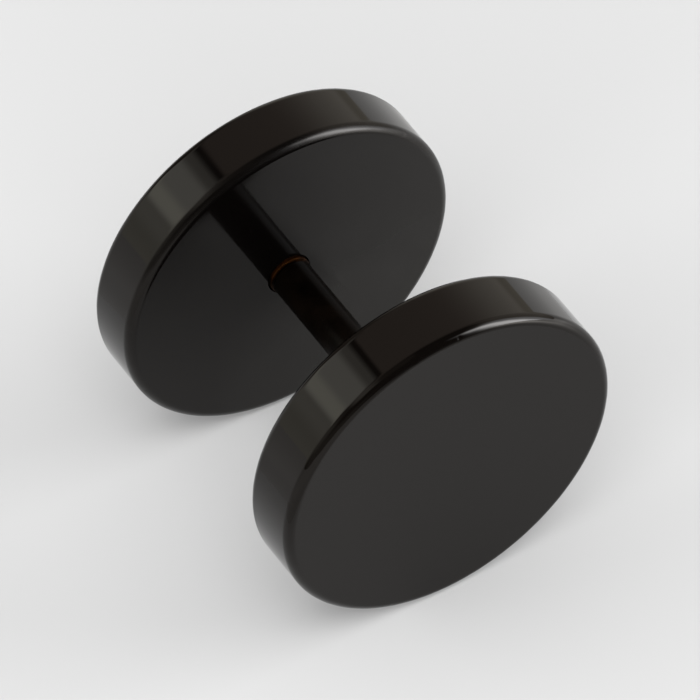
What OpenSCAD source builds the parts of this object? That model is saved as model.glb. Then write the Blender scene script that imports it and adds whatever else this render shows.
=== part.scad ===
// False ear plug: two polished discs on a thin bar. The end disc screws off, the bar
// goes through the ear lobe, and the plug then looks like one that fills a wide hole.
// The bar lies along Y, the front disc at -Y and the end disc at +Y. The plug lies on
// the rims of both discs, with the origin on the floor below the plug's middle.

/* [Discs] */
// Diameter of both discs
disc_d = 10; // [6:0.5:20]
// Thickness of the front disc
disc_t = 1.9; // [1.4:0.1:3]
// Thickness of the end disc
end_t = 1.8; // [1.4:0.1:3]
// Rounding of the discs' edges
edge_r = 0.25; // [0.1:0.05:0.5]
// Solid wall left between a disc's hole and its outer face
face_wall = 0.5; // [0.3:0.05:0.8]

/* [Bar] */
// Room for the ear lobe between the discs
lobe_gap = 6; // [4.5:0.1:12]
// Diameter of the bar
bar_d = 1.15; // [1:0.05:1.6]
// Chamfer on the bar's ends and on its shoulder
bar_chamfer = 0.08; // [0.04:0.01:0.12]

/* [Screw joint] */
// Diameter over the thread of the bar's screw end
stud_d = 0.9; // [0.6:0.05:0.95]
// Wall of the sleeve that the screw end turns into
sleeve_wall = 0.12; // [0.1:0.005:0.5]
// How far the sleeve's rim stands out of the end disc
sleeve_rim = 0.03; // [0.01:0.01:0.1]

/* [Clearances] */
// Gap around a piece that is glued or pressed into a disc
seat_gap = 0.02; // [0.01:0.01:0.04]
// Gap around the screw end in its sleeve
screw_gap = 0.03; // [0.01:0.01:0.06]
// Gap between the bar's shoulder and the sleeve's rim
shoulder_gap = 0.01; // [0.01:0.01:0.05]
// Space past the end of a piece that goes into a hole
tip_gap = 0.1; // [0.05:0.05:0.2]

/* [Hidden] */
$fn = 96;

disc_r = disc_d / 2;
// Height of the bar's centre line over the floor
axis_h = disc_r;
// The sleeve's bore clears the screw end all round
sleeve_bore = stud_d + 2 * screw_gap;
sleeve_d = sleeve_bore + 2 * sleeve_wall;
front_hole = disc_t - face_wall;
end_hole = end_t - face_wall;
// Places along Y of the discs' faces, with the plug's middle at 0
front_outer = -(disc_t + lobe_gap + end_t) / 2;
front_inner = front_outer + disc_t;
end_inner = front_inner + lobe_gap;
// Lets a cutter run past the face that it opens
cut_over = 0.5;

// The bar's four stations along Y
root_y = front_inner - front_hole + tip_gap;
shoulder_y = end_inner - sleeve_rim - shoulder_gap;
stud_end_y = end_inner + end_hole - tip_gap;

black = [0.03, 0.03, 0.03];
bronze = [0.55, 0.32, 0.14];

// Puts what is drawn along +Z on the bar's centre line, starting at y
module on_axis(y) {
    translate([0, y, axis_h])
        rotate([-90, 0, 0])
            children();
}

// Half of a disc's section: flat faces and rim, joined by round edges
module disc_section(thickness) {
    square([disc_r - edge_r, thickness]);
    translate([0, edge_r])
        square([disc_r, thickness - 2 * edge_r]);
    for (height = [edge_r, thickness - edge_r])
        translate([disc_r - edge_r, height])
            circle(r = edge_r);
}

module disc_blank(y, thickness) {
    on_axis(y)
        rotate_extrude()
            disc_section(thickness);
}

// A rod with a chamfer on either end, where first and last give their sizes
module rod(d, length, first, last) {
    r = d / 2;
    rotate_extrude()
        polygon([
            [0, 0],
            [r - first, 0],
            [r, first],
            [r, length - last],
            [r - last, length],
            [0, length]
        ]);
}

// The disc that shows on the ear, with a blind hole for the bar's root
module front_disc() {
    color(black)
        difference() {
            disc_blank(front_outer, disc_t);
            on_axis(front_inner - front_hole)
                cylinder(d = bar_d + 2 * seat_gap, h = front_hole + cut_over);
        }
}

// One straight bar: its root in the front disc, its shoulder on the sleeve, and the
// screw end, drawn plain at the diameter over its thread
module bar() {
    color(black)
        union() {
            on_axis(root_y)
                rod(bar_d, shoulder_y - root_y, bar_chamfer, bar_chamfer);
            on_axis(shoulder_y - bar_chamfer)
                rod(stud_d, stud_end_y - shoulder_y + bar_chamfer, 0, bar_chamfer);
        }
}

// The bronze sleeve in the end disc, whose rim shows around the bar's shoulder
module screw_sleeve() {
    length = end_hole - tip_gap + sleeve_rim;
    color(bronze)
        on_axis(end_inner - sleeve_rim)
            difference() {
                cylinder(d = sleeve_d, h = length);
                translate([0, 0, -cut_over])
                    cylinder(d = sleeve_bore, h = length + 2 * cut_over);
            }
}

// The disc behind the ear, which screws off with its sleeve
module end_disc() {
    color(black)
        difference() {
            disc_blank(end_inner, end_t);
            on_axis(end_inner - cut_over)
                cylinder(d = sleeve_d + 2 * seat_gap, h = end_hole + cut_over);
        }
}

front_disc();
bar();
screw_sleeve();
end_disc();
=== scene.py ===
"""Ear plug gauge: two polished black discs on a thin bar, lying on their rims.

The frame's solids give the places and the main sizes. Each of them is replaced by a finer
turned mesh of the same form with a procedural finish. Lengths are in metres.
"""
import math
import random

import bpy
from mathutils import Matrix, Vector


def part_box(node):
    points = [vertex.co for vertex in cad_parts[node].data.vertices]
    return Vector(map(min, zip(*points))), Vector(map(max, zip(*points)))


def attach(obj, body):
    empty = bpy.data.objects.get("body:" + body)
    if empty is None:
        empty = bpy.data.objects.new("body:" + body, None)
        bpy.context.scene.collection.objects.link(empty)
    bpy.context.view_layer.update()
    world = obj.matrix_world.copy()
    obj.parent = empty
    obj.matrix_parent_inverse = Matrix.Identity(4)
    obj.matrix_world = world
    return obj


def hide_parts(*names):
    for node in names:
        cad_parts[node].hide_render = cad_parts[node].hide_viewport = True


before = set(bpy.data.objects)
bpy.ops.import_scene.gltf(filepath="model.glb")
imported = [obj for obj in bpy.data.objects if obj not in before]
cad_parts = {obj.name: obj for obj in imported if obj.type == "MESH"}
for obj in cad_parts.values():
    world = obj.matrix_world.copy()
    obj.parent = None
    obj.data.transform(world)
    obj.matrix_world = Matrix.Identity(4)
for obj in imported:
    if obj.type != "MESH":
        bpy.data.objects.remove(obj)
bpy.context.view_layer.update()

MM = 0.001

# Sizes and places that the frame gives
front_lo, front_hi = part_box("front_disc")
end_lo, end_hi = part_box("end_disc")
bar_lo, bar_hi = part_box("bar")
sleeve_lo, sleeve_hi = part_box("screw_sleeve")

DISC_R = (front_hi.z - front_lo.z) / 2
AXIS_Z = (front_hi.z + front_lo.z) / 2
BAR_R = (bar_hi.z - bar_lo.z) / 2
SLEEVE_R = (sleeve_hi.z - sleeve_lo.z) / 2
PLUG_MIDDLE = Vector((0, (front_lo.y + end_hi.y) / 2, AXIS_Z))

# Sizes inside the pieces, as in the part's source
EDGE_R = 0.25 * MM
FACE_WALL = 0.5 * MM
SEAT_GAP = 0.02 * MM
STUD_R = 0.45 * MM
SCREW_GAP = 0.03 * MM
BAR_CHAMFER = 0.08 * MM
SHOULDER_GAP = 0.01 * MM

FACE_R = DISC_R - EDGE_R
BORE_R = STUD_R + SCREW_GAP
SHOULDER_Y = sleeve_lo.y - SHOULDER_GAP

# Sizes that only the finished surfaces have: the broken edges of holes and sleeve, and
# how far the end disc's inner face is polished hollow, with its flat middle's radius
MOUTH = 0.03 * MM
SLEEVE_EDGE = 0.015 * MM
DISH_DEPTH = 0.03 * MM
DISH_FLAT_R = 1.9 * MM

# The thread. Its run-outs are where it starts and is full, from the sleeve's rim, and its
# flanks are shares of half the pitch
THREAD_PITCH = 0.25 * MM
THREAD_DEPTH = 0.07 * MM
BORE_THREAD_DEPTH = 0.7 * THREAD_DEPTH
SCREW_RUN_OUT = (0.05 * MM, 0.15 * MM)
BORE_RUN_OUT = (0.05 * MM, 0.12 * MM)
THREAD_FLANKS = (0.15, 0.85)

# Unevenness of the rounded edges: the height of a wave, how many of each go round the
# disc, and the mean loss in wave heights
EDGE_WAVE = 0.0006 * MM
WAVES_ROUND = (5, 9, 14, 23, 37, 61)
EDGE_LOSS = 3

# Nicks in the edges: ranges of the angle round the edge in degrees, of the width in
# millimetres and of the depth as a share of it, and how many widths a nick reaches
NICK_ANGLE = (15, 75)
NICK_WIDTH = (0.03, 0.075)
NICK_DEPTH = (0.08, 0.16)
NICK_REACH = 3
FRONT_NICKS = [
    # turn, angle round the edge, width, depth
    (-7, 40, 0.06 * MM, 0.008 * MM),
    (3, 62, 0.045 * MM, 0.006 * MM),
]

# Fineness of the meshes: steps round a disc, round the bar and the sleeve, in an arc and in
# one turn of the thread, rings on the faces and the bar, and the distance of the ring that
# keeps a flat stretch flat next to a corner
DISC_STEPS = 1200
BAR_STEPS = 240
ARC_STEPS = 16
SLEEVE_ARC_STEPS = 5
THREAD_STEPS = 12
INNER_FACE_RINGS = 12
OUTER_FACE_RINGS = (0.85, 0.6, 0.35, 0.15)
BAR_RINGS = (0.25, 0.5, 0.75)
SUPPORT = 0.02 * MM
# Lengths under this are taken as nothing
TINY = 1e-7


def smooth(value, start, end):
    """0 up to start, 1 past end, and a smooth step between. start may be the larger one."""
    share = min(1, max(0, (value - start) / (end - start)))
    return share * share * (3 - 2 * share)


def evenly(start, end, count):
    """Numbers from start to end, in so many equal steps."""
    return [start + (end - start) * i / count for i in range(count + 1)]


# Making of turned shapes

def arc(r_mid, y_mid, radius, start, end, steps=ARC_STEPS):
    """Points (r, y) on an arc about (r_mid, y_mid), from one angle to another in degrees."""
    angles = [math.radians(degrees) for degrees in evenly(start, end, steps)]
    return [(r_mid + radius * math.cos(a), y_mid + radius * math.sin(a)) for a in angles]


def turned(name, section, steps, nudge=None, ring=False):
    """A closed solid of revolution about the plug's axis, from its section's points (r, y).

    A section starts and ends on the axis, or else closes on itself and makes a ring.
    nudge(r, y, turn) may move a point.
    """
    verts, faces, rings = [], [], []
    for r, y in section:
        if r < TINY:
            rings.append([len(verts)])
            verts.append((0.0, y, AXIS_Z))
            continue
        rings.append(list(range(len(verts), len(verts) + steps)))
        for i in range(steps):
            turn = 2 * math.pi * i / steps
            rr, yy = nudge(r, y, turn) if nudge else (r, y)
            verts.append((rr * math.sin(turn), yy, AXIS_Z + rr * math.cos(turn)))
    pairs = list(zip(rings, rings[1:]))
    if ring:
        pairs.append((rings[-1], rings[0]))
    for low, high in pairs:
        for i in range(steps):
            j = (i + 1) % steps
            if len(low) == 1:
                faces.append((low[0], high[j], high[i]))
            elif len(high) == 1:
                faces.append((low[i], low[j], high[0]))
            else:
                faces.append((low[i], low[j], high[j], high[i]))
    mesh = bpy.data.meshes.new(name)
    mesh.from_pydata(verts, [], faces)
    mesh.validate()
    mesh.polygons.foreach_set("use_smooth", [True] * len(mesh.polygons))
    mesh.update()
    piece = bpy.data.objects.new(name, mesh)
    bpy.context.scene.collection.objects.link(piece)
    return piece


def dish(r, depth):
    """How far back a hollow face lies at r. Its middle is flat, and its edge at 0."""
    share = max(0.0, (r - DISH_FLAT_R) / (FACE_R - DISH_FLAT_R))
    return depth * max(0.0, 1 - share * share)


def disc_section(inner_y, outer_y, hole_r, hollow=0.0):
    """A disc's section, from the bottom of its hole round to the middle of its outer face."""
    out = 1 if outer_y > inner_y else -1
    bottom_y = outer_y - out * FACE_WALL
    face_y = inner_y + out * hollow
    section = [(0, bottom_y), (hole_r - SUPPORT, bottom_y), (hole_r, bottom_y)]
    section += [(hole_r, bottom_y - out * SUPPORT), (hole_r, face_y + out * (MOUTH + SUPPORT))]
    section += [(hole_r, face_y + out * MOUTH), (hole_r + MOUTH, face_y)]
    section += [(hole_r + MOUTH + SUPPORT, face_y)]
    inner_rings = evenly(DISH_FLAT_R, FACE_R, INNER_FACE_RINGS)[:-1] + [FACE_R - SUPPORT]
    section += [(r, inner_y + out * dish(r, hollow)) for r in inner_rings]
    section += arc(FACE_R, inner_y + out * EDGE_R, EDGE_R, -90 * out, 0)
    section += [(DISC_R, inner_y + out * (EDGE_R + SUPPORT)), (DISC_R, (inner_y + outer_y) / 2)]
    section += [(DISC_R, outer_y - out * (EDGE_R + SUPPORT))]
    section += arc(FACE_R, outer_y - out * EDGE_R, EDGE_R, 0, 90 * out)
    section += [(FACE_R - SUPPORT, outer_y)]
    section += [(FACE_R * share, outer_y) for share in OUTER_FACE_RINGS]
    section += [(0, outer_y)]
    return section


def hand_polish(seed):
    """A nudge that leaves the rounded edges a little uneven, as polishing by hand does."""
    rng = random.Random(seed)
    waves = []
    for count in WAVES_ROUND:
        waves.append((count, rng.uniform(0, 2 * math.pi)))
        # A spare draw after each phase, on which the later phases depend
        rng.random()

    def nudge(r, y, turn):
        off_face = smooth(r, DISC_R - 2.2 * EDGE_R, DISC_R - 0.7 * EDGE_R)
        off_rim = smooth(r, DISC_R, DISC_R - 0.1 * EDGE_R)
        if off_face * off_rim == 0:
            return r, y
        lift = sum(math.sin(count * turn + phase) for count, phase in waves)
        return r - EDGE_WAVE * off_face * off_rim * (EDGE_LOSS + lift), y

    return nudge


def edge_marks(seed, count):
    """Nicks at random places: (turn, angle round the edge, width, depth)."""
    rng = random.Random(seed)
    marks = []
    for _ in range(count):
        width = rng.uniform(*NICK_WIDTH) * MM
        turn, angle = rng.uniform(0, 360), rng.uniform(*NICK_ANGLE)
        marks.append((turn, angle, width, width * rng.uniform(*NICK_DEPTH)))
    return marks


def nick(piece, edge_y, into, marks):
    """Presses small dents into the edge whose face is at edge_y. into is its way to the rim."""
    middle = Vector((0, edge_y + into * EDGE_R, AXIS_Z))
    near_edge = [v for v in piece.data.vertices if abs(v.co.y - middle.y) < 1.1 * EDGE_R]
    for turn, angle, width, depth in marks:
        t, a = math.radians(turn), math.radians(angle)
        radial = Vector((math.sin(t), 0, math.cos(t)))
        outward = radial * math.cos(a) - Vector((0, into * math.sin(a), 0))
        place = middle + radial * FACE_R + outward * EDGE_R
        for vert in near_edge:
            off = (vert.co - place).length / width
            if off < NICK_REACH:
                vert.co = vert.co - outward * depth * math.exp(-off * off)
    piece.data.update()


def bar_section():
    """The bar from its root to the end of its screw."""
    chamfer_r = BAR_R - BAR_CHAMFER
    section = [(0, bar_lo.y), (chamfer_r - SUPPORT, bar_lo.y), (chamfer_r, bar_lo.y)]
    section += [(BAR_R, bar_lo.y + BAR_CHAMFER), (BAR_R, bar_lo.y + BAR_CHAMFER + SUPPORT)]
    section += [(BAR_R, bar_lo.y + (SHOULDER_Y - bar_lo.y) * share) for share in BAR_RINGS]
    section += [(BAR_R, SHOULDER_Y - BAR_CHAMFER - SUPPORT), (BAR_R, SHOULDER_Y - BAR_CHAMFER)]
    section += [(chamfer_r, SHOULDER_Y), (STUD_R + SUPPORT / 2, SHOULDER_Y)]
    screw_end_y = bar_hi.y - BAR_CHAMFER
    count = round((screw_end_y - SHOULDER_Y) / THREAD_PITCH * THREAD_STEPS)
    section += [(STUD_R, y) for y in evenly(SHOULDER_Y, screw_end_y, count)]
    section += [(STUD_R - BAR_CHAMFER, bar_hi.y), (STUD_R - BAR_CHAMFER - SUPPORT, bar_hi.y)]
    section += [(0, bar_hi.y)]
    return section


def sleeve_section():
    """The sleeve's wall, as a loop: along its bore, round its far end and back outside."""
    lo, hi, edge = sleeve_lo.y, sleeve_hi.y, SLEEVE_EDGE
    count = round((hi - lo) / THREAD_PITCH * THREAD_STEPS)
    section = [(BORE_R, y) for y in evenly(lo + edge, hi - edge, count)]
    section += [(BORE_R + edge, hi), (SLEEVE_R - edge, hi)]
    section += [(SLEEVE_R, hi - edge), (SLEEVE_R, (lo + hi) / 2), (SLEEVE_R, lo + 2 * edge)]
    section += arc(SLEEVE_R - edge, lo + edge, edge, 0, -90, SLEEVE_ARC_STEPS)
    section += [(BORE_R + 1.5 * edge, lo), (BORE_R + edge, lo)]
    return section


def groove(y, turn):
    """How deep the thread's groove is at a place, from 0 to 1."""
    phase = (y / THREAD_PITCH - turn / (2 * math.pi)) % 1
    return smooth(1 - abs(2 * phase - 1), *THREAD_FLANKS)


def cut_thread(r, y, turn):
    """Cuts the thread into the bar's screw end."""
    if y < sleeve_lo.y or abs(r - STUD_R) > TINY:
        return r, y
    return r - THREAD_DEPTH * smooth(y - sleeve_lo.y, *SCREW_RUN_OUT) * groove(y, turn), y


def cut_bore(r, y, turn):
    """Cuts the thread into the sleeve's bore."""
    if abs(r - BORE_R) > TINY:
        return r, y
    return r + BORE_THREAD_DEPTH * smooth(y - sleeve_lo.y, *BORE_RUN_OUT) * groove(y, turn), y


# Finishes

BLACK = (0.0016, 0.0012, 0.001)
# Painted reflection in the colour of the end disc's inner face, from its dark to its light tone
PAINTED_REFLECTION_DARK = (0.0012, 0.0009, 0.0008)
PAINTED_REFLECTION_LIGHT = (0.0175, 0.0168, 0.0158)
WARM_GLOSS = (1.0, 0.94, 0.88, 1)
# The dark band of the bar's painted reflection on the end disc's inner face leans a little from +Z to -X
BAND_UP = (-0.423, 0, 0.906)
BAND_ACROSS = (0.906, 0, 0.423)
# How much rougher that face's rounded edge is than the face
SOFT_EDGE = 0.18


class Finish:
    """A material with a principled shader, and the nodes that feed it."""

    def __init__(self, name):
        self.material = bpy.data.materials.new(name)
        self.material.use_nodes = True
        self.tree = self.material.node_tree
        self.shader = self.tree.nodes["Principled BSDF"]

    def feed(self, node, values):
        """Links inputs of a node to other nodes' outputs, or sets them to constants."""
        for socket, value in values.items():
            if isinstance(value, bpy.types.NodeSocket):
                self.tree.links.new(value, node.inputs[socket])
            else:
                node.inputs[socket].default_value = value

    def node(self, kind, values, **settings):
        """A new node with its settings and inputs."""
        node = self.tree.nodes.new("ShaderNode" + kind)
        for name, value in settings.items():
            setattr(node, name, value)
        self.feed(node, values)
        return node

    def shade(self, values):
        """Feeds the shader."""
        self.feed(self.shader, values)

    def places(self, stretch=(1, 1, 1)):
        """Places on the piece in millimetres from the plug's axis, or stretched along X, Y, Z."""
        values = {
            "Vector": self.node("TexCoord", {}).outputs["Object"],
            "Location": (0, 0, -AXIS_Z / MM * stretch[2]),
            "Scale": tuple(s / MM for s in stretch),
        }
        return self.node("Mapping", values).outputs["Vector"]

    def noise(self, places, scale, detail, distortion=0.0):
        values = {"Vector": places, "Scale": scale, "Detail": detail, "Distortion": distortion}
        return self.node("TexNoise", values).outputs["Fac"]

    def ranged(self, value, low, high, to_low, to_high):
        """A value taken from one range to another, and held at its ends."""
        values = {"Value": value, "From Min": low, "From Max": high, "To Min": to_low, "To Max": to_high}
        return self.node("MapRange", values).outputs["Result"]

    def along(self, places, way, low, high):
        """From 0 to 1 as a place goes from low to high along a way."""
        dot = self.node("VectorMath", {0: places, 1: way}, operation="DOT_PRODUCT")
        return self.ranged(dot.outputs["Value"], low, high, 0.0, 1.0)

    def added(self, first, second):
        return self.node("Math", {0: first, 1: second}, operation="ADD").outputs["Value"]

    def times(self, first, second):
        return self.node("Math", {0: first, 1: second}, operation="MULTIPLY").outputs["Value"]

    def larger(self, first, second):
        return self.node("Math", {0: first, 1: second}, operation="MAXIMUM").outputs["Value"]

    def ramp(self, factor, *stops):
        """A colour that goes through the stops, each of them a position and a colour."""
        node = self.node("ValToRGB", {"Fac": factor})
        elements = node.color_ramp.elements
        elements[0].position, elements[-1].position = stops[0][0], stops[-1][0]
        for position, _ in stops[1:-1]:
            elements.new(position)
        for element, (_, colour) in zip(elements, stops):
            element.color = (*colour, 1)
        return node.outputs["Color"]

    def bump(self, height, distance):
        """Bump from a height whose unit is given as distance."""
        values = {"Height": height, "Strength": 1.0, "Distance": distance}
        self.shade({"Normal": self.node("Bump", values).outputs["Normal"]})


def painted_reflection(finish, places, face_y):
    """Painted reflection on the face at face_y, as its colour, all in millimetres.

    It is lighter to +X and downwards, a painted reflection of the brighter floor, and stays dark in
    a band that goes up from the bar, where it stands for the bar's reflection.
    """
    # Painted reflection of the bar: a band going up from the bar stays dark
    beside = finish.along(places, BAND_ACROSS, 0.55, 0.95)
    below = finish.along(places, BAND_UP, 0.3, -2.4)
    left = finish.larger(beside, below)
    # Painted reflection of the brighter floor: lighter to +X and downwards
    to_right = finish.along(places, (1, 0, 0), -2.5, 1.5)
    downwards = finish.along(places, (0, 0, 1), 4.6, -1.4)
    on_face = finish.along(places, (0, 1, 0), face_y + 0.06, face_y + 0.035)
    patchy = finish.ranged(finish.noise(places, 0.9, 3), 0.3, 0.7, 0.85, 1.0)
    share = finish.times(finish.times(left, finish.times(to_right, downwards)), on_face)
    return finish.ramp(finish.times(share, patchy), (0, PAINTED_REFLECTION_DARK), (1, PAINTED_REFLECTION_LIGHT))


def edge_mask(finish, places, face_y):
    """1 on the rounded edge of the face at face_y, 0 on the face and rim, in millimetres."""
    flat = finish.node("VectorMath", {0: places, 1: (1, 0, 1)}, operation="MULTIPLY")
    radius = finish.node("VectorMath", {0: flat.outputs["Vector"]}, operation="LENGTH")
    start, width = FACE_R / MM, EDGE_R / MM
    off_face = finish.ranged(radius.outputs["Value"], start, start + 0.3 * width, 0.0, 1.0)
    rim_y = face_y + width
    off_rim = finish.along(places, (0, 1, 0), rim_y + 0.3 * width, rim_y - 0.1 * width)
    return finish.times(off_face, off_rim)


def polished_black(name, smoothest, dullest, painted_face_y=None):
    """Acrylic with a mirror polish, faintly wavy, with traces of the polishing wheel.

    If a face's place is given, that face has painted reflection in its colour and a softer edge.
    """
    finish = Finish(name)
    finish.shade({"Base Color": (*BLACK, 1), "IOR": 1.3, "Specular Tint": WARM_GLOSS})
    places = finish.places()
    cloudy = finish.noise(places, 0.7, 4)
    hairs = finish.noise(finish.places((9, 9, 0.35)), 1.6, 2, 0.6)
    cloud_part = finish.ranged(cloudy, 0.35, 0.7, smoothest, dullest)
    hair_part = finish.ranged(hairs, 0.66, 0.78, 0.0, 0.02)
    roughness = finish.added(cloud_part, hair_part)
    if painted_face_y is not None:
        # Painted reflection in the face's colour: lighter where it stands for the mirrored floor, dark
        # for the bar
        finish.shade({"Base Color": painted_reflection(finish, places, painted_face_y / MM)})
        edge = edge_mask(finish, places, painted_face_y / MM)
        roughness = finish.added(roughness, finish.ranged(edge, 0, 1, 0.0, SOFT_EDGE))
    finish.shade({"Roughness": roughness})
    finish.bump(finish.noise(places, 0.55, 1), 0.0012 * MM)
    return finish.material


def coated_black():
    """A thin black coating on steel, smooth with a slight grain."""
    finish = Finish("black_steel")
    places = finish.places()
    cloudy = finish.noise(places, 1.5, 3)
    colour = finish.ramp(cloudy, (0.3, (0.0006, 0.0004, 0.0003)), (0.8, (0.003, 0.0018, 0.0011)))
    roughness = finish.ranged(cloudy, 0.3, 0.7, 0.2, 0.27)
    finish.shade({"Base Color": colour, "Roughness": roughness})
    finish.shade({"IOR": 1.12, "Specular Tint": WARM_GLOSS})
    finish.bump(finish.noise(places, 14, 3), 0.0015 * MM)
    return finish.material


def turned_bronze():
    """Bronze with fine rings from the lathe, stained, with painted light to -X and painted shade below.
    """
    finish = Finish("bronze")
    places = finish.places()
    values = {"Vector": places, "Scale": 12, "Distortion": 1.5, "Detail": 2}
    rings = finish.node("TexWave", values, wave_type="RINGS", rings_direction="Y")
    stain = finish.noise(places, 3.5, 4)
    sides = finish.node("SeparateXYZ", {"Vector": places})
    # Painted light: lighter to -X
    painted_light_side = finish.ranged(sides.outputs["X"], -0.6, 0.6, 0.45, -0.45)
    # Painted shade: darker towards the bottom
    low = finish.ranged(sides.outputs["Z"], 0.05, 0.35, -0.6, 0.0)
    colour = finish.ramp(
        finish.added(stain, finish.added(painted_light_side, low)),
        (0.15, (0.01, 0.0035, 0.0008)),
        (0.52, (0.035, 0.012, 0.0026)),
        (0.85, (0.13, 0.045, 0.01)),
    )
    roughness = finish.ranged(stain, 0.3, 0.7, 0.65, 0.5)
    finish.shade({"Base Color": colour, "Metallic": 1.0, "Roughness": roughness})
    finish.bump(rings.outputs["Fac"], 0.002 * MM)
    return finish.material


# The pieces

def settle(piece, material, body, node):
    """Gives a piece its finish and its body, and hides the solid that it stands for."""
    piece.data.materials.append(material)
    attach(piece, body)
    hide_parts(node)


def make_front_disc():
    section = disc_section(front_hi.y, front_lo.y, BAR_R + SEAT_GAP)
    piece = turned("front_disc_polished", section, DISC_STEPS, hand_polish(3))
    nick(piece, front_lo.y, 1, FRONT_NICKS + edge_marks(11, 5))
    nick(piece, front_hi.y, -1, edge_marks(12, 6))
    settle(piece, polished_black("black_acrylic", 0.02, 0.04), "front", "front_disc")


def make_end_disc():
    section = disc_section(end_lo.y, end_hi.y, SLEEVE_R + SEAT_GAP, DISH_DEPTH)
    piece = turned("end_disc_polished", section, DISC_STEPS, hand_polish(4))
    nick(piece, end_lo.y, 1, edge_marks(13, 5))
    nick(piece, end_hi.y, -1, edge_marks(14, 6))
    # The inner face gets painted reflection in its colour
    material = polished_black("black_acrylic_end", 0.05, 0.08, painted_face_y=end_lo.y)
    settle(piece, material, "end", "end_disc")


def make_bar():
    piece = turned("bar_turned", bar_section(), BAR_STEPS, cut_thread)
    settle(piece, coated_black(), "front", "bar")


def make_sleeve():
    piece = turned("sleeve_turned", sleeve_section(), BAR_STEPS, cut_bore, ring=True)
    settle(piece, turned_bronze(), "end", "screw_sleeve")


make_front_disc()
make_end_disc()
make_bar()
make_sleeve()


# Camera

CAMERA_AZIMUTH = 180 + 32.13
CAMERA_ELEVATION = 48.706
CAMERA_DISTANCE = 278.84 * MM
# Focal length and sensor width, in the millimetres of a real camera
CAMERA_LENS = 545.7
SENSOR_WIDTH = 36
CAMERA_ASIDE = -0.0337 * MM
CAMERA_RAISED = -0.0474 * MM
CLIP_START = 10 * MM
CLIP_END = 4


def direction(azimuth, elevation):
    """The way from the plug to a place round it. Azimuth 0 is +Y and 90 is +X, in degrees."""
    a, e = math.radians(azimuth), math.radians(elevation)
    return Vector((math.sin(a) * math.cos(e), math.cos(a) * math.cos(e), math.sin(e)))


def make_camera():
    data = bpy.data.cameras.new("camera")
    data.lens, data.sensor_width = CAMERA_LENS, SENSOR_WIDTH
    data.clip_start, data.clip_end = CLIP_START, CLIP_END
    camera = bpy.data.objects.new("camera", data)
    bpy.context.scene.collection.objects.link(camera)
    back = direction(CAMERA_AZIMUTH, CAMERA_ELEVATION)
    turn = (-back).to_track_quat("-Z", "Y")
    right, up = turn @ Vector((1, 0, 0)), turn @ Vector((0, 1, 0))
    camera.location = PLUG_MIDDLE + back * CAMERA_DISTANCE + right * CAMERA_ASIDE + up * CAMERA_RAISED
    camera.rotation_mode = "QUATERNION"
    camera.rotation_quaternion = turn
    bpy.context.scene.camera = camera


make_camera()


# Floor and light

FLOOR_HALF = 1.5
FLOOR_GREY = 0.551
SKY_STRENGTH = 0.8
PANEL_DISTANCE = 0.4
PANEL_WIDTH = 0.29
PANEL_HEIGHT = 0.185
PANELS = (
    # name, azimuth, elevation, radiance
    ("top_panel", 220, 65, 2.84),
    ("right_panel", 112, 14, 9.8),
    ("left_panel", 300, 14, 4.9),
    ("near_left_panel", 240, 14, 4.0),
    ("near_panel", 200, 14, 3.9),
)

# What the plug mirrors of the room, in order: the middle of each patch of wall or ceiling
# and its half sizes, in degrees of azimuth and elevation, how soft its edge is, and its colour
FAR_ROOM = (
    # azimuth, elevation, half width, half height, edge, colour
    (-80, 4, 45, 24, 6, (1.12, 1.11, 0.98)),
    (-80, 20, 45, 7, 5, (1.45, 1.45, 1.32)),
    (-40, 46, 20, 4, 1, (0.98, 0.97, 0.9)),
    (-47, 34, 16, 10.5, 2, (2.2, 2.23, 2.1)),
    (-50, 28, 16, 4, 2.5, (3.05, 3.1, 2.77)),
    (-36, 50.2, 20, 1.2, 0.5, (0.04, 0.035, 0.03)),
    (0, 12, 28, 28, 8, (0.2, 0.17, 0.14)),
    (62, 12, 46, 20, 14, (1.02, 0.95, 0.84)),
    (60, 2, 30, 4, 2.5, (0.63, 0.58, 0.48)),
)
NEAR_ROOM = (
    (-110, 75, 70, 18, 8, (0.17, 0.15, 0.13)),
    (-88, 53, 36, 8, 6, (0.95, 0.92, 0.85)),
    (-92, 22, 16, 14, 12, (0.6, 0.58, 0.53)),
    (-130, 8, 34, 14, 10, (0.3, 0.29, 0.26)),
    (92, 24, 30, 24, 10, (0.95, 0.88, 0.78)),
    (126, 16, 22, 26, 8, (3.6, 3.7, 3.9)),
    (133, 12, 10, 24, 9, (18, 18.6, 19.4)),
)
CEILING = (0.6, 0.51, 0.45)
CAMERA_SIDE = (0.05, 0.045, 0.04)
# The far room fades to the camera's side over this stretch, as shares of the way to +Y
LIT_FROM, LIT_FULL = 0.05, 0.6

# The floor past the picture's edge, as gloss sees it. Its patches start where it starts
FAR_FLOOR_START = 14 * MM
FAR_FLOOR_LIFT = 0.05 * MM
FAR_FLOOR_TONE = 0.74
FAR_FLOOR_WARMTH = (1, 0.99, 0.975)
FAR_FLOOR = (
    # azimuth, half width, edge, distance where the patch is full in millimetres, tone
    (58, 30, 15, 26, 0.95),
    (-55, 20, 10, 26, 0.95),
    (-135, 40, 18, 30, 0.95),
    (164, 14, 10, 45, 0.12),
    (132, 14, 10, 70, 7.0),
    (112, 20, 10, 70, 2.6),
)
ROOM_R = 0.7
ROOM_COLUMNS = 360
DOME_FOOT = -2
DOME_ROWS = 92
FLOOR_RINGS = 24


def make_floor():
    corners = [(-1, -1), (1, -1), (1, 1), (-1, 1)]
    mesh = bpy.data.meshes.new("floor")
    mesh.from_pydata([(x * FLOOR_HALF, y * FLOOR_HALF, 0) for x, y in corners], [], [(0, 1, 2, 3)])
    floor = bpy.data.objects.new("floor", mesh)
    bpy.context.scene.collection.objects.link(floor)
    finish = Finish("pale_floor")
    finish.shade({"Base Color": (FLOOR_GREY, FLOOR_GREY, FLOOR_GREY, 1)})
    finish.shade({"Roughness": 0.9, "Specular IOR Level": 0.0})
    mesh.materials.append(finish.material)


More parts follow.
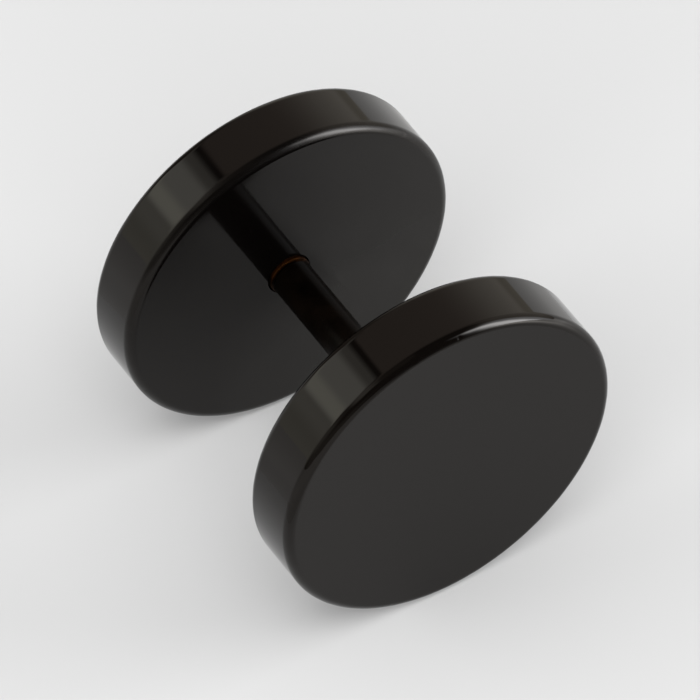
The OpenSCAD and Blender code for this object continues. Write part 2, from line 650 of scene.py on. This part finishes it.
def make_panel(name, azimuth, elevation, radiance):
    """A soft panel that faces the plug and lights the floor. Gloss sees the room instead."""
    data = bpy.data.lights.new(name, "AREA")
    data.shape = "RECTANGLE"
    data.size, data.size_y = PANEL_WIDTH, PANEL_HEIGHT
    data.energy = radiance * math.pi * PANEL_WIDTH * PANEL_HEIGHT
    light = bpy.data.objects.new(name, data)
    bpy.context.scene.collection.objects.link(light)
    way = direction(azimuth, elevation)
    light.location = PLUG_MIDDLE + way * PANEL_DISTANCE
    light.rotation_mode = "QUATERNION"
    light.rotation_quaternion = way.to_track_quat("Z", "Y")
    light.visible_camera = False
    light.visible_glossy = False


def make_sky():
    world = bpy.data.worlds.new("studio")
    bpy.context.scene.world = world
    world.use_nodes = True
    back = world.node_tree.nodes["Background"]
    back.inputs["Color"].default_value = (1, 1, 1, 1)
    back.inputs["Strength"].default_value = SKY_STRENGTH


def inside(value, middle, half, edge):
    """1 within half of the middle and 0 outside it, with a soft edge."""
    return 1 - smooth(abs(value - middle), half - edge, half + edge)


def inside_turn(azimuth, middle, half, edge):
    """The same for an azimuth, the short way round."""
    return inside((azimuth - middle + 180) % 360 - 180, 0, half, edge)


def painted(colour, patches, azimuth, elevation):
    """A colour with the patches laid over it in turn."""
    for mid_a, mid_e, half_a, half_e, edge, tone in patches:
        share = inside_turn(azimuth, mid_a, half_a, edge) * inside(elevation, mid_e, half_e, edge)
        colour = [c * (1 - share) + t * share for c, t in zip(colour, tone)]
    return colour


def room_colour(azimuth, elevation):
    """The room's colour in a direction: lit beyond the plug and dark on the camera's side."""
    far = painted(CEILING, FAR_ROOM, azimuth, elevation)
    lit = smooth(direction(azimuth, elevation).y, LIT_FROM, LIT_FULL)
    colour = [c * lit + d * (1 - lit) for c, d in zip(far, CAMERA_SIDE)]
    return painted(colour, NEAR_ROOM, azimuth, elevation)


def floor_colour(azimuth, distance):
    """The far floor's colour at an azimuth and a distance from the plug."""
    tone = FAR_FLOOR_TONE
    for mid_a, half_a, edge, full, bright in FAR_FLOOR:
        share = inside_turn(azimuth, mid_a, half_a, edge)
        tone += (bright - tone) * share * smooth(distance, FAR_FLOOR_START, full * MM)
    return [tone * warmth for warmth in FAR_FLOOR_WARMTH]


def light_material():
    """A material that shines in the colours painted on its mesh."""
    material = bpy.data.materials.new("room_light")
    material.use_nodes = True
    nodes, links = material.node_tree.nodes, material.node_tree.links
    nodes.clear()
    paint = nodes.new("ShaderNodeVertexColor")
    paint.layer_name = "paint"
    emission = nodes.new("ShaderNodeEmission")
    output = nodes.new("ShaderNodeOutputMaterial")
    links.new(paint.outputs["Color"], emission.inputs["Color"])
    links.new(emission.outputs["Emission"], output.inputs["Surface"])
    return material


def make_room():
    """A far floor and a dome that only gloss sees, painted with the room round the plug."""
    azimuths = evenly(0, 360, ROOM_COLUMNS)[:-1]
    verts, faces, colours = [], [], []
    for j in range(FLOOR_RINGS + 1):
        distance = FAR_FLOOR_START * (ROOM_R / FAR_FLOOR_START) ** (j / FLOOR_RINGS)
        for azimuth in azimuths:
            verts.append(direction(azimuth, 0) * distance + Vector((0, 0, FAR_FLOOR_LIFT)))
            colours += [*floor_colour(azimuth, distance), 1]
    for elevation in evenly(DOME_FOOT, 90, DOME_ROWS):
        for azimuth in azimuths:
            verts.append(direction(azimuth, elevation) * ROOM_R + PLUG_MIDDLE)
            colours += [*room_colour(azimuth, elevation), 1]
    for j in range(FLOOR_RINGS + 1 + DOME_ROWS):
        # The floor's last ring isn't joined to the dome's foot
        if j == FLOOR_RINGS:
            continue
        low, high = j * ROOM_COLUMNS, (j + 1) * ROOM_COLUMNS
        for i in range(ROOM_COLUMNS):
            k = (i + 1) % ROOM_COLUMNS
            faces.append((low + i, low + k, high + k, high + i))
    mesh = bpy.data.meshes.new("room")
    mesh.from_pydata(verts, [], faces)
    mesh.color_attributes.new("paint", "FLOAT_COLOR", "POINT").data.foreach_set("color", colours)
    mesh.materials.append(light_material())
    room = bpy.data.objects.new("room", mesh)
    bpy.context.scene.collection.objects.link(room)
    for kind in ("camera", "diffuse", "transmission", "volume_scatter", "shadow"):
        setattr(room, "visible_" + kind, False)


make_floor()
make_room()
for panel in PANELS:
    make_panel(*panel)
make_sky()
bpy.context.scene.view_settings.view_transform = "Standard"
